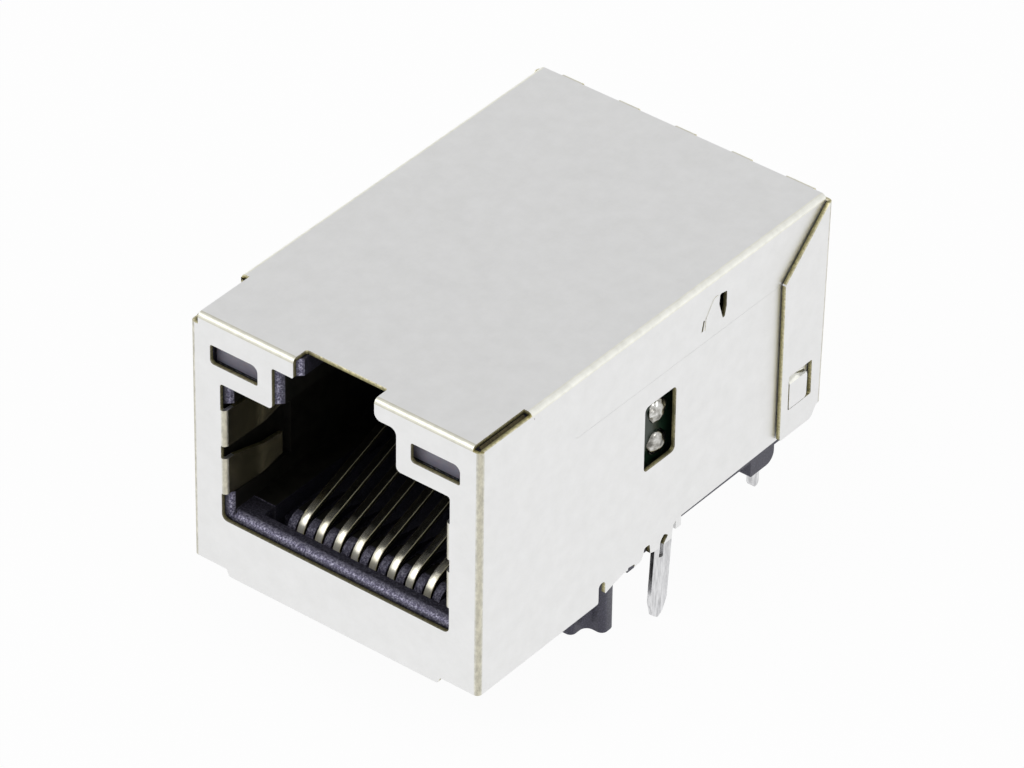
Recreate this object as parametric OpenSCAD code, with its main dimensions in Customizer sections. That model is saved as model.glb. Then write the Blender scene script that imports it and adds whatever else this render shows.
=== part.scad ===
// Single-port board jack with built-in magnetics, two indicator lights and a
// folded metal shield. +Z points up from the circuit board that it is soldered
// to, the plug enters along +Y, and the origin lies on the board's surface,
// midway between the two plastic posts. The modules measure Y from the front
// face, and from_front() moves them to that origin.

/* [Shield] */
// Width across the side panels
shield_w = 16; // [15.8:0.1:16.2]
// Depth from the front face to the rear wall
shield_d = 24.5; // [24.4:0.1:25.5]
// Height of the top above the board
shield_h = 13.2; // [13.2:0.1:13.6]
// Thickness of the sheet
sheet_t = 0.2; // [0.18:0.01:0.22]
// Outer radius of the bends
bend_r = 0.25; // [0.23:0.01:0.3]
// Gap at the tight seams between two edges of sheet
seam_gap = 0.02; // [0.02:0.01:0.1]

/* [Plug port] */
// Half width of the port inside the housing
port_half_w = 6.1; // [6:0.01:6.15]
// Height of the port's floor above the board
port_floor = 2.95; // [2.85:0.05:3]
// Height of the port's ceiling beside the latch channel
port_ceiling = 9.97; // [9.9:0.01:9.98]
// Depth of the port from the front face
port_depth = 12; // [11.8:0.1:12.2]

/* [Contacts] */
// Distance from one contact to the next
contact_pitch = 1.016; // [1.01:0.001:1.02]
// Width of a contact
contact_w = 0.4; // [0.36:0.01:0.44]
// Thickness of a contact
contact_t = 0.22; // [0.18:0.01:0.24]
// Slope of the free arms, in degrees
contact_slope = 20.3; // [19.5:0.1:21]

/* [Board side] */
// Distance of the two posts behind the front face
post_y = 9.5; // [9.2:0.1:9.6]
// Distance of each post from the middle
post_x = 6.35; // [6.3:0.05:6.4]
// Reach of a post's ribs from its centre
post_reach = 1.4; // [1.2:0.05:1.45]
// Length of the posts below the board's surface
post_drop = 2.27; // [2:0.01:2.5]
// Length of the solder pins below the board's surface
pin_drop = 3.1; // [2.8:0.1:3.4]
// Length of the shield's ground pins below the board's surface
ground_pin_drop = 3.4; // [3.2:0.1:3.6]
// Thickness of the square solder pins
pin_w = 0.5; // [0.4:0.02:0.5]

/* [Hidden] */

// Colours
nickel = [0.86, 0.86, 0.85];
black_plastic = [0.13, 0.13, 0.16];
gold = [0.78, 0.62, 0.28];
tin = [0.72, 0.72, 0.70];
solder = [0.80, 0.80, 0.78];
frosted = [0.62, 0.60, 0.66];
board_green = [0.10, 0.28, 0.17];
ferrite = [0.25, 0.24, 0.24];
enamelled_copper = [0.72, 0.36, 0.18];
ceramic_black = [0.16, 0.16, 0.17];
ceramic_tan = [0.72, 0.58, 0.42];

half_w = shield_w / 2;
inner_half_w = half_w - sheet_t;
inner_top = shield_h - sheet_t;
bend_start = shield_h - bend_r;
arc_steps = 6;
cut = 1; // how far a cutting shape runs past the surface it cuts

// ---- Outlines ---------------------------------------------------------------

function unit(v) = v / norm(v);
function turned(a) = (a + 540) % 360 - 180;
function flat(p) = [p[0], p[1]];

// The corner b of the path a-b-c, rounded with radius r, unless the path runs straight on
function rounded_corner(a, b, c, r) = r <= 0 || abs(cross(unit(a - b), unit(c - b))) < 0.001 ? [b] :
    let (
        u = unit(a - b),
        v = unit(c - b),
        half = acos(u * v) / 2,
        middle = b + unit(u + v) * r / sin(half),
        s = b + u * r / tan(half) - middle,
        e = b + v * r / tan(half) - middle,
        start = atan2(s.y, s.x),
        sweep = turned(atan2(e.y, e.x) - start)
    )
    [for (i = [0:arc_steps]) middle + r * [
        cos(start + sweep * i / arc_steps),
        sin(start + sweep * i / arc_steps)]];

// A closed outline of [x, y, corner radius] points
function outline(p) = [for (i = [0:len(p) - 1]) each rounded_corner(
    flat(p[(i + len(p) - 1) % len(p)]), flat(p[i]), flat(p[(i + 1) % len(p)]), p[i][2])];

function rounded_box(lo, hi, r) = outline([
    [lo.x, lo.y, r], [hi.x, lo.y, r], [hi.x, hi.y, r], [lo.x, hi.y, r]]);

// One side of a strip along a path of [x, y, bend radius] points
function strip_side(p, off) = [for (i = [0:len(p) - 1])
    let (
        last = len(p) - 1,
        d0 = unit(flat(p[max(i, 1)]) - flat(p[max(i, 1) - 1])),
        d1 = unit(flat(p[min(i, last - 1) + 1]) - flat(p[min(i, last - 1)])),
        n0 = [-d0.y, d0.x],
        n1 = [-d1.y, d1.x],
        q = flat(p[i]) + off * (n0 + n1) / (1 + n0 * n1)
    )
    [q.x, q.y, p[i][2] <= 0 ? 0 : p[i][2] - sign(cross(d0, d1)) * off]];

// A bent strip of thickness t along the middle of its path
function strip(p, t) = let (a = strip_side(p, t / 2), b = strip_side(p, -t / 2))
    outline(concat(a, [for (i = [len(b) - 1:-1:0]) b[i]]));

// An outline in Y and Z, run along X
module across(x0, x1) {
    translate([x0, 0, 0]) rotate([90, 0, 90]) linear_extrude(x1 - x0) children();
}

// An outline in X and Z, run along Y
module along(y0, y1) {
    translate([0, y1, 0]) rotate([90, 0, 0]) linear_extrude(y1 - y0) children();
}

// An outline in X and Y, run along Z
module upright(z0, z1) {
    translate([0, 0, z0]) linear_extrude(z1 - z0) children();
}

module block(lo, hi) {
    translate(lo) cube(hi - lo);
}

module both_sides() {
    children();
    mirror([1, 0, 0]) children();
}

module from_front() {
    translate([0, -post_y, 0]) children();
}

// ---- Shield -----------------------------------------------------------------

lip_drop = 0.35;       // the front's middle hangs this far over the board's edge
opening_half_w = 6.355;
opening_floor = 2.65;
opening_top = 9.99;
notch_half_w = 3.43;
notch_top = 12.165;
slot_half_w = 2.23;
slot_depth = 0.92;
roof_front_half_w = half_w - 0.45;
roof_front_end = 3.45;
seam_z = 10.05;
flap_x = half_w + 0.05 + sheet_t;
lean = 1.5;            // the rear wall is folded this many degrees past square
flap_window = [[21.66, 2.98], [23.38, 4.84]];   // lowest and highest Y and Z
tab_y = [14.08, 14.46];
left_front_top = 12.62;    // the left side panel is lower beside the roof's narrow front
front_top = inner_top;
flap_edge = 21.15;
side_end = 24.05;

module light_window(x0, x1) {
    polygon(outline([[x0, 10.84, 0.2], [x1, 10.84, 0.1], [x1, 11.84, 0.35], [x0, 11.84, 0.12]]));
}

module port_opening() {
    polygon(outline([
        [-opening_half_w, opening_floor, 0.3], [opening_half_w, opening_floor, 0.3],
        [opening_half_w, opening_top, 0.15], [notch_half_w, opening_top, 0.25],
        [notch_half_w, notch_top, 0.35], [slot_half_w, notch_top, 0.35],
        [slot_half_w, shield_h + cut, 0], [-slot_half_w, shield_h + cut, 0],
        [-slot_half_w, notch_top, 0.1], [-notch_half_w, notch_top, 0.12],
        [-notch_half_w, opening_top, 0.2], [-opening_half_w, opening_top, 0.15]]));
}

module front_outline() {
    difference() {
        polygon(outline([
            [-half_w - cut, 0, 0], [-6.12, 0, 0.1], [-6, -lip_drop, 0.15],
            [5.74, -lip_drop, 0.15], [5.9, 0, 0.1], [half_w + cut, 0, 0],
            [half_w + cut, bend_start, 0], [-half_w - cut, bend_start, 0]]));
        port_opening();
        light_window(4.22, 6.89);
        light_window(-6.89, -4.22);
    }
}

// The front plate and the side panels, seen from above
module wrap_section() {
    difference() {
        polygon(rounded_box([-half_w, 0], [half_w, shield_d + cut], bend_r));
        polygon(rounded_box([-inner_half_w, sheet_t], [inner_half_w, shield_d + 2 * cut],
            bend_r - sheet_t));
    }
}

module front_plate() {
    intersection() {
        upright(-cut, shield_h) wrap_section();
        along(-cut, bend_r) front_outline();
    }
    // bend from the front plate up into the top
    difference() {
        across(-roof_front_half_w, roof_front_half_w) polygon(strip([
            [sheet_t / 2, bend_start - 0.01, 0],
            [sheet_t / 2, shield_h - sheet_t / 2, bend_r - sheet_t / 2],
            [bend_r + 0.01, shield_h - sheet_t / 2, 0]], sheet_t));
        block([-slot_half_w, -cut, notch_top], [slot_half_w, cut, shield_h + cut]);
    }
}

// A side panel, with the ground pin below it, in Y and Z
module side_outline() {
    difference() {
        polygon(outline([
            [bend_r - 0.01, 0, 0], [8.37, 0, 0.1], [8.37, 1.02, 0.22], [8.84, 1.02, 0.22],
            [8.84, 0.28, 0.05], [9.4, 0.45, 0.3], [10.15, 0.62, 0.1], [10.44, 0.6, 0],
            [10.48, 0.72, 0.05], [10.92, 0.66, 0.05], [10.96, 0.5, 0], [11.4, 0.55, 0.2],
            [11.57, 0.89, 0.1], [11.62, 1.12, 0.12], [12.0, 1.12, 0.12], [12.05, 0.6, 0],
            [12.36, 0.5, 0], [12.18, -2.3, 0.4], [12.36, -ground_pin_drop + 0.3, 0.15],
            [12.74, -ground_pin_drop, 0.15], [13.06, -ground_pin_drop + 0.2, 0.15],
            [13.36, -2.6, 0.5], [13.52, -0.7, 1], [13.63, 0.85, 0.1], [13.7, 1.2, 0.1],
            [13.95, 1.38, 0.2], [side_end, 1.5, 0.2], [side_end, seam_z - 0.25, 0.2],
            [21.3, seam_z - seam_gap / 2, 0], [6.55, seam_z - seam_gap / 2, 0.6],
            [3.62, 12.75, 0.1], [3.5, front_top, 0.1], [bend_r - 0.01, front_top, 0]]));
        // slot above the ground pin
        polygon(outline([[12.7, -0.04, 0.05], [12.99, -0.14, 0.05], [13.04, 0.55, 0.3],
            [13.34, 0.86, 0.05], [13.04, 1.08, 0.15], [12.76, 0.86, 0.2]]));
        // side window
        polygon(rounded_box([11.4, 5.35], [13.62, 8.85], 0.25));
    }
}

// The roof with its side strips, seen from the front
module roof_section() {
    difference() {
        polygon(rounded_box([-half_w, -cut], [half_w, shield_h], bend_r));
        polygon(rounded_box([-inner_half_w, -2 * cut], [inner_half_w, inner_top],
            bend_r - sheet_t));
    }
}

// What the roof and its strips cover, in Y and Z
module strip_outline() {
    difference() {
        polygon(outline([
            [roof_front_end, shield_h + cut, 0], [roof_front_end, bend_start - 0.05, 0],
            [3.66, 12.8, 0], [6.58, seam_z + seam_gap / 2, 0.6],
            [21.35, seam_z + seam_gap / 2, 0.2], [24.1, 12.6, 0.3],
            [shield_d - bend_r, 12.75, 0], [shield_d - bend_r, shield_h + cut, 0]]));
        // slot behind the pressed latch
        polygon(outline([[16.84, 10.66, 0.06], [16.99, 10.68, 0.06], [17.1, 11.2, 0.3],
            [17.1, 11.98, 0.08], [16.6, 12.08, 0.1], [16.55, 11.55, 0.2]]));
        // notch in front of it
        polygon(outline([[15.3, 10.72, 0], [15.42, 10.72, 0], [15.53, 11.25, 0.03],
            [15.44, 11.28, 0.03]]));
    }
}

module roof() {
    intersection() {
        along(roof_front_end - cut, shield_d) roof_section();
        across(-half_w - cut, half_w + cut) strip_outline();
    }
    // the narrower front of the roof, with the mouth of the latch channel
    upright(inner_top, shield_h) difference() {
        translate([-roof_front_half_w, bend_r])
            square([2 * roof_front_half_w, roof_front_end - bend_r + 0.01]);
        polygon(rounded_box([-slot_half_w, -cut], [slot_half_w, slot_depth], 0.12));
    }
}

// Latch pressed out of the strip by a hair
module pressed_latch() {
    across(half_w - 0.05, half_w + 0.02)
        polygon(outline([[15.56, 10.62, 0.1], [16.8, 10.62, 0.05], [16.5, 11.55, 0.1],
            [16.55, 12.05, 0.1], [16.2, 12.15, 0.3], [15.6, 11.3, 0.4]]));
}

// The rear wall and the flaps that lap over the side panels, seen from above
module rear_section() {
    difference() {
        polygon(rounded_box([-flap_x, 10], [flap_x, shield_d], bend_r));
        polygon(rounded_box([-flap_x + sheet_t, 9], [flap_x - sheet_t, shield_d - sheet_t],
            bend_r - sheet_t));
    }
}

module flap_outline() {
    difference() {
        polygon(outline([
            [flap_edge, 1.55, 0.1], [23.47, 1.55, 0.4], [23.82, 2.1, 0.2],
            [shield_d + cut, 2.25, 0], [shield_d + cut, bend_start, 0],
            [24.2, 12.85, 0.05], [flap_edge, 10.08, 0.1]]));
        polygon(rounded_box(flap_window[0], flap_window[1], 0.08));
    }
}

strap_spans = [[-6.76, -5.66], [-3.55, -2.48], [-0.38, 0.69], [2.77, 3.80], [5.77, 7.27]];

// The middle of the leaning rear wall at a height z
function wall_y(z) = shield_d - sheet_t / 2 / cos(lean) - (bend_start - z) * tan(lean);

module rear_wall() {
    intersection() {
        translate([0, shield_d, bend_start]) rotate([-lean, 0, 0])
            translate([0, -shield_d, 0]) upright(-shield_h, cut) rear_section();
        across(-flap_x - cut, flap_x + cut) flap_outline();
    }
    // slotted bend from the roof down into the rear wall
    for (s = strap_spans) across(s[0], s[1]) polygon(strip([
        [shield_d - bend_r - 0.01, shield_h - sheet_t / 2, 0],
        [wall_y(shield_h - sheet_t / 2), shield_h - sheet_t / 2, bend_r - sheet_t / 2],
        [wall_y(bend_start - 0.2), bend_start - 0.2, 0]], sheet_t));
}

// Latch that is half sheared out of the side panel and stands in the flap's window
module latch_bump() {
    lo = flap_window[0] + [0.05, 0.05];
    hi = flap_window[1] - [0.05, 0.02];
    intersection() {
        across(half_w - 0.05, flap_x + 0.1) polygon(outline([
            [lo.x, lo.y, 0.05], [23.0, lo.y, 0.2], [23.04, hi.y - 0.3, 0.6],
            [22.5, hi.y, 0.3], [lo.x, hi.y, 0.05]]));
        along(lo.x - cut, hi.x + cut) polygon([
            [half_w - 0.05, lo.y], [flap_x + 0.02, lo.y], [flap_x + 0.02, hi.y - 0.42],
            [flap_x - 0.15, hi.y - 0.05], [half_w - 0.05, hi.y]]);
    }
}

// Grounding tongues folded back into the port from the opening's sides
tongue_x = 6.1 + sheet_t / 2;

module tongue(z_front, z_back) {
    intersection() {
        upright(0, shield_h) polygon(strip([
            [opening_half_w + 0.05, sheet_t / 2, 0],
            [tongue_x, sheet_t / 2, 0.13],
            [tongue_x - 0.1, 2.5, 2],
            [tongue_x + 0.12, 3.95, 0]], sheet_t));
        across(0, half_w) polygon(outline([
            [-cut, z_front[0], 0], [0.6, z_front[0], 0.3], [4.1, z_back[0], 0],
            [4.1, z_back[1], 0], [0.6, z_front[1], 0.3], [-cut, z_front[1], 0]]));
    }
}

// Short tab folded in behind the ground pin
module hidden_tab() {
    block([inner_half_w - sheet_t, tab_y[0], 0.66], [inner_half_w + 0.05, tab_y[1], 1.6]);
}

module left_front_relief() {
    block([-half_w - cut, -cut, left_front_top], [-roof_front_half_w, 3.4, shield_h + cut]);
}

module shield() {
    color(nickel) from_front() difference() {
        folded_sheet();
        left_front_relief();
    }
}

module folded_sheet() {
    front_plate();
    intersection() {
        upright(-ground_pin_drop - cut, shield_h) wrap_section();
        across(-half_w - cut, half_w + cut) side_outline();
    }
    roof();
    rear_wall();
    both_sides() {
        hidden_tab();
        pressed_latch();
        latch_bump();
        tongue([6.63, 8.56], [6.75, 8.3]);
        tongue([4.04, 5.97], [4.04, 5.15]);
    }
}

// ---- Front housing ----------------------------------------------------------

housing_front = 0.32;      // a hair behind the front plate
housing_end = 11;          // the full-width part ends here, in front of the boards
housing_neck_end = 12.7;   // the neck between the boards closes the port
neck_half_w = 6.45;
housing_top = inner_top - 0.05;
foot_relief = 0.75;        // the lower corners stay clear of the side panels' edge
chamfer = 0.18;            // clears the inside of the shield's bends
light_floor = 10.57;
light_x = [3.8, 7];
light_y = [0.5, 3.2];
lead_xs = [5.62, 4.14];
lead_z = 11.15;
lead_w = 0.42;
lead_rear_y = 22.87;
carrier_half_w = 4.9;
carrier_top = 2.1;
carrier_floor = 0.5;
latch_half_w = 3.27;
latch_top = 12.05;
slot_in_housing = 2.1;
ledge_end = 1.11;          // the ledge in front of the contacts ends here

module housing_body() {
    intersection() {
        upright(foot_relief, housing_top) polygon([
            [-inner_half_w + chamfer, housing_front], [inner_half_w - chamfer, housing_front],
            [inner_half_w, housing_front + chamfer], [inner_half_w, housing_end],
            [-inner_half_w, housing_end], [-inner_half_w, housing_front + chamfer]]);
        along(housing_front, housing_end) polygon([
            [-inner_half_w, foot_relief], [inner_half_w, foot_relief],
            [inner_half_w, housing_top - chamfer], [inner_half_w - chamfer, housing_top],
            [-inner_half_w + chamfer, housing_top], [-inner_half_w, housing_top - chamfer]]);
        across(-inner_half_w, inner_half_w) polygon([
            [housing_front, foot_relief], [housing_end, foot_relief], [housing_end, housing_top],
            [housing_front + chamfer, housing_top], [housing_front, housing_top - chamfer]]);
    }
    block([-7.05, housing_front, 0], [7.05, housing_end, foot_relief + 0.1]);
    block([-neck_half_w, housing_end - 0.1, carrier_top], [neck_half_w, housing_neck_end,
        housing_top]);
    both_sides() {
        // cross-shaped posts that locate the jack in the board
        upright(-post_drop, foot_relief + 0.1) translate([post_x, post_y]) post_section();
        // nub and rail along the side panel's lower edge
        block([7, 10.7, 0.2], [inner_half_w - 0.02, housing_end + 0.2, foot_relief + 0.1]);
        block([7.45, housing_end - 0.1, 0.62], [inner_half_w, 12.6, 1.9]);
    }
}

module post_section() {
    rib = 0.42;     // half width of a rib
    tip = 0.3;      // rounding at the ribs' ends
    fillet = 0.4;   // rounding between the ribs
    polygon(outline([for (i = [0:3]) each [for (p = [
        [post_reach, -rib, tip], [post_reach, rib, tip], [rib, rib, fillet]])
        [p.x * cos(90 * i) - p.y * sin(90 * i), p.x * sin(90 * i) + p.y * cos(90 * i), p[2]]]]));
}

// The mouth of a wall at x, opened out at 45 degrees by the given amount
module flare(x, out, z0, z1) {
    upright(z0, z1) polygon([
        [x - 0.1, 0], [x + out, 0], [x + out, housing_front], [x, housing_front + out],
        [x - 0.1, housing_front + out]]);
}

module port_space() {
    // the plug's body, the latch channel and its upper slot
    block([-port_half_w, -cut, port_floor], [port_half_w, port_depth, port_ceiling]);
    block([-latch_half_w, -cut, port_ceiling - 0.1], [latch_half_w, port_depth, latch_top]);
    block([-slot_in_housing, -cut, latch_top - 0.1], [slot_in_housing, 7, housing_top + cut]);
    // rounded lip of the floor
    across(-port_half_w, port_half_w) polygon(outline([
        [0, port_floor + 0.1, 0], [0, 2.5, 0], [housing_front, 2.5, 0],
        [housing_front + 0.07, 2.68, 0.3], [0.72, port_floor, 0.15], [0.82, port_floor, 0],
        [0.82, port_floor + 0.1, 0]]));
    // flared mouth: side walls, latch channel and its upper slot
    both_sides() {
        flare(port_half_w, 0.32, port_floor - 0.3, port_ceiling);
        flare(latch_half_w, 0.38, port_ceiling - 0.1, latch_top);
        flare(slot_in_housing, 0.3, latch_top - 0.1, housing_top + cut);
        // recess behind the grounding tongues
        block([port_half_w - 0.1, -cut, 3.9], [6.5, 4.4, 8.7]);
    }
}

module light_pockets() {
    both_sides() {
        block([light_x[0], -cut, light_floor], [light_x[1], light_y[1] + 0.05, housing_top + cut]);
        for (x = lead_xs)
            block([x - lead_w / 2 - 0.02, light_y[1], lead_z],
                [x + lead_w / 2 + 0.02, housing_neck_end + cut, housing_top + cut]);
    }
}

// Comb at the port's rear that keeps the free ends of the contacts apart
module rear_comb() {
    for (k = [-4:4]) translate([k * contact_pitch, 0, 0])
        across(-0.23, 0.23) polygon(outline([
            [port_depth + 0.1, 4.4, 0], [port_depth + 0.1, 6.9, 0], [10.9, 6.9, 0.5],
            [10.2, 6.1, 0.3], [10.2, 5.2, 0.3]]));
}

module front_housing() {
    color(black_plastic) from_front() {
        difference() {
            housing_body();
            port_space();
            light_pockets();
            // relief at the left front, where the shield is lower
            block([-half_w, 0, left_front_top - 0.1], [-roof_front_half_w + 0.1, 3.45, shield_h]);
            // tunnel that the contact carrier slides into
            block([-carrier_half_w, ledge_end, carrier_floor], [carrier_half_w, port_depth,
                port_floor + 0.1]);
        }
        rear_comb();
    }
}

// ---- Contacts and their carrier ---------------------------------------------

arm_front = 1.87;           // foremost Y of a contact
arm_turn_r = 1.27;          // where the arm curves down
arm_foot_r = 0.7;           // where it turns back under the slab
arm_tip_y = 10.9;
arm_ref = [5.39, 3.96];     // a point on the upper face of every arm
tail_y = 13.01;
tail_run_z = 0.95;
tail_levels = [2.8, 4.2, 5.91, 7.64];
carrier_back = [12.7, 13.9];
carrier_back_half_w = 6.5;
board_x = [6.6, 7.4];

function contact_x(k) = (k - 3.5) * contact_pitch;
function tail_z(k) = tail_levels[min(k, 7 - k)];
function arm_z(y) = arm_ref[1] + tan(contact_slope) * (y - arm_ref[0])
    - contact_t / 2 / cos(contact_slope);

// Contact k: free arm, front bend, run along the carrier, and tail to a board
module contact(k) {
    x = contact_x(k);
    front = arm_front + contact_t / 2;
    side = k < 4 ? -1 : 1;
    color(gold) from_front() {
        translate([x, 0, 0]) across(-contact_w / 2, contact_w / 2) polygon(strip([
            [arm_tip_y, arm_z(arm_tip_y), 0], [front, arm_z(front), arm_turn_r],
            [front, tail_run_z, arm_foot_r], [tail_y, tail_run_z, 0.3],
            [tail_y, tail_z(k) + contact_w / 2, 0]], contact_t));
        along(tail_y - contact_t / 2, tail_y + contact_t / 2)
            translate([min(side * board_x[1], x), tail_z(k) - contact_w / 2])
                square([abs(side * board_x[1] - x), contact_w]);
    }
}

module comb_rib(x) {
    translate([x, 0, 0]) across(-0.22, 0.22) polygon(outline([
        [1.92, carrier_floor, 0], [1.92, 2.65, 0.75], [3.5, 2.65, 0.6], [4.8, 2.3, 0.8],
        [6.4, carrier_top - 0.05, 0], [6.4, carrier_floor, 0]]));
}

module contact_carrier() {
    groove = contact_w / 2 + 0.01;
    color(black_plastic) from_front() difference() {
        union() {
            block([-carrier_half_w, 2.5, carrier_floor], [carrier_half_w, carrier_back[1],
                carrier_top]);
            block([-carrier_back_half_w, carrier_back[0], 1.05], [carrier_back_half_w,
                carrier_back[1], 8.4]);
            for (k = [-4:4]) comb_rib(k * contact_pitch);
        }
        for (k = [0:7]) {
            x = contact_x(k);
            side = k < 4 ? -1 : 1;
            // groove for the front bend and for the run below the slab
            block([x - groove, 1, carrier_floor - cut], [x + groove, tail_y + contact_t / 2 + 0.02,
                tail_run_z + contact_t / 2 + 0.02]);
            block([x - groove, 1, carrier_floor], [x + groove, 3.9, 3.5]);
            // grooves for the tail, upwards and then sideways
            block([x - groove, carrier_back[0] - cut, carrier_floor],
                [x + groove, tail_y + contact_t / 2 + 0.02, tail_z(k) + groove]);
            block([min(side * half_w, x - groove), carrier_back[0] - cut, tail_z(k) - groove],
                [max(side * half_w, x + groove), tail_y + contact_t / 2 + 0.02, tail_z(k) + groove]);
        }
    }
}

// ---- Lights -----------------------------------------------------------------

module light() {
    color(frosted) from_front() difference() {
        across(light_x[0] + 0.05, light_x[1] - 0.05) polygon(outline([
            [light_y[0], light_floor, 0.05], [light_y[1], light_floor, 0],
            [light_y[1], 12.1, 0], [light_y[0], 12.1, 0.15]]));
        for (x = lead_xs)
            block([x - lead_w / 2, 1.4, lead_z], [x + lead_w / 2, light_y[1] + cut,
                lead_z + lead_w]);
    }
}

module light_lead(x) {
    color(tin) from_front() translate([x, 0, 0]) {
        across(-lead_w / 2, lead_w / 2) polygon(strip([
            [1.4, lead_z + lead_w / 2, 0], [lead_rear_y, lead_z + lead_w / 2, 0.5],
            [lead_rear_y, -pin_drop + 0.2, 0]], lead_w));
        pin_tip(lead_rear_y, lead_w);
    }
}

// Chamfered end of a square pin
module pin_tip(y, w) {
    across(-w / 2, w / 2) polygon([
        [y - w / 2, -pin_drop + 0.2], [y - w / 4, -pin_drop], [y + w / 4, -pin_drop],
        [y + w / 2, -pin_drop + 0.2]]);
}

// ---- Rear base, boards and signal pins --------------------------------------

base_floor = [1.04, 2];
base_end = 23.95;      // clear of the leaning rear wall
foot_y = [19.84, 21.6];
signal_rows = [17.66, 20.2];
signal_pitch = 1.27;
signal_legs = [2.75, 4.15];  // heights of the legs of the outer and the inner pins

function signal_x(k) = (k - 3.5) * signal_pitch;
function signal_rank(k) = min(k, 7 - k);
function signal_y(k) = signal_rows[signal_rank(k) % 2];
function signal_leg_z(k) = signal_legs[signal_rank(k) < 2 ? 0 : 1];

module rear_base() {
    hole = pin_w / 2 + 0.01;
    lead_hole = lead_w / 2 + 0.01;
    color(black_plastic) from_front() difference() {
        union() {
            block([-inner_half_w, carrier_back[1], base_floor[0]],
                [inner_half_w, base_end, base_floor[1]]);
            // low wall across the rear
            block([-inner_half_w, 23.4, base_floor[1] - 0.1], [inner_half_w, base_end, 5]);
            // feet that rest on the board
            both_sides() across(5.9, 7.65) polygon(outline([
                [foot_y[0], base_floor[0] + 0.1, 0], [foot_y[0], 0, 0.1], [foot_y[1], 0, 0.55],
                [foot_y[1], base_floor[0] + 0.1, 0]]));
        }
        for (k = [0:7])
            block([signal_x(k) - hole, signal_y(k) - hole, -cut],
                [signal_x(k) + hole, signal_y(k) + hole, base_floor[1] + cut]);
        both_sides() {
            for (x = lead_xs)
                block([x - lead_hole, lead_rear_y - lead_hole, -cut],
                    [x + lead_hole, lead_rear_y + lead_hole, base_floor[1] + cut]);
            // pocket for the shield's hidden tab
            block([inner_half_w - sheet_t - 0.03, carrier_back[1] - cut, 0],
                [inner_half_w + cut, tab_y[1] + 0.03, 1.65]);
        }
    }
}

module signal_pin(k) {
    x = signal_x(k);
    y = signal_y(k);
    z = signal_leg_z(k);
    side = k < 4 ? -1 : 1;
    color(tin) from_front() {
        block([x - pin_w / 2, y - pin_w / 2, -pin_drop + 0.2], [x + pin_w / 2, y + pin_w / 2,
            z + pin_w / 2]);
        translate([x, 0, 0]) pin_tip(y, pin_w);
        block([min(side * board_x[1], x), y - pin_w / 2, z - pin_w / 2],
            [max(side * board_x[1], x), y + pin_w / 2, z + pin_w / 2]);
    }
}

// The places, in Y and Z, where contacts and pins pass through one board
board_holes = concat(
    [for (k = [4:7]) [tail_y, tail_z(k), contact_t, contact_w]],
    [for (k = [4:7]) [signal_y(k), signal_leg_z(k), pin_w, pin_w]]);

module circuit_board() {
    color(board_green) from_front() across(board_x[0], board_x[1]) difference() {
        polygon(rounded_box([11.1, base_floor[1]], [21.9, 10.9], 0.3));
        for (h = board_holes)
            translate([h[0], h[1]]) square([h[2] + 0.02, h[3] + 0.02], center = true);
    }
}

// A joint's fillet, from its rim on the board to its rounded top
joint_profile = [[0, 0], [0.66, 0], [0.6, 0.1], [0.46, 0.22], [0.28, 0.3], [0, 0.33]];

module solder_joints() {
    color(solder) from_front() for (h = board_holes)
        translate([board_x[1], h[0], h[1]]) rotate([0, 90, 0])
            rotate_extrude($fn = 32) polygon(joint_profile);
}

// ---- Magnetics and chips on the boards --------------------------------------

toroid_z = 6.5;
transformer_y = 16.1;
choke_y = 20;
core_r = [0.85, 1.65];
core_t = 1.5;
wire_t = 0.2;
turn_w = 0.3;
bore_sag = core_r[0] - sqrt(pow(core_r[0], 2) - pow(turn_w / 2, 2)); // under a flat turn

module at_toroid(y, x_off) {
    translate([board_x[0] - wire_t - core_t / 2 + x_off, y, toroid_z]) rotate([0, 90, 0])
        children();
}

module core(y) {
    color(ferrite) from_front() at_toroid(y, 0) difference() {
        cylinder(r = core_r[1], h = core_t, center = true, $fn = 48);
        cylinder(r = core_r[0], h = core_t + cut, center = true, $fn = 48);
    }
}

// Turns of wire over one sector of the core
module winding(y, turns) {
    color(enamelled_copper) from_front() at_toroid(y, 0) {
        for (i = [0:turns - 1]) rotate([0, 0, 360 * i / turns])
            rotate([90, 0, 0]) linear_extrude(turn_w, center = true) difference() {
                translate([core_r[0] - wire_t, -core_t / 2 - wire_t])
                    square([core_r[1] - core_r[0] + 2 * wire_t, core_t + 2 * wire_t]);
                translate([core_r[0] - bore_sag, -core_t / 2])
                    square([core_r[1] - core_r[0] + bore_sag, core_t]);
            }
        // the turns lie side by side in the core's bore
        difference() {
            cylinder(r = core_r[0], h = core_t, center = true, $fn = 48);
            cylinder(r = core_r[0] - wire_t, h = core_t + cut, center = true, $fn = 48);
        }
    }
}

module chip_resistor(y) {
    color(ceramic_black) from_front()
        block([board_x[0] - 0.45, y - 0.8, 9.4], [board_x[0], y + 0.8, 10.2]);
}

module shield_capacitor() {
    color(ceramic_tan) from_front()
        block([board_x[0] - 1.2, 20.1, 9], [board_x[0], 21.7, 10.6]);
}

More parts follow.
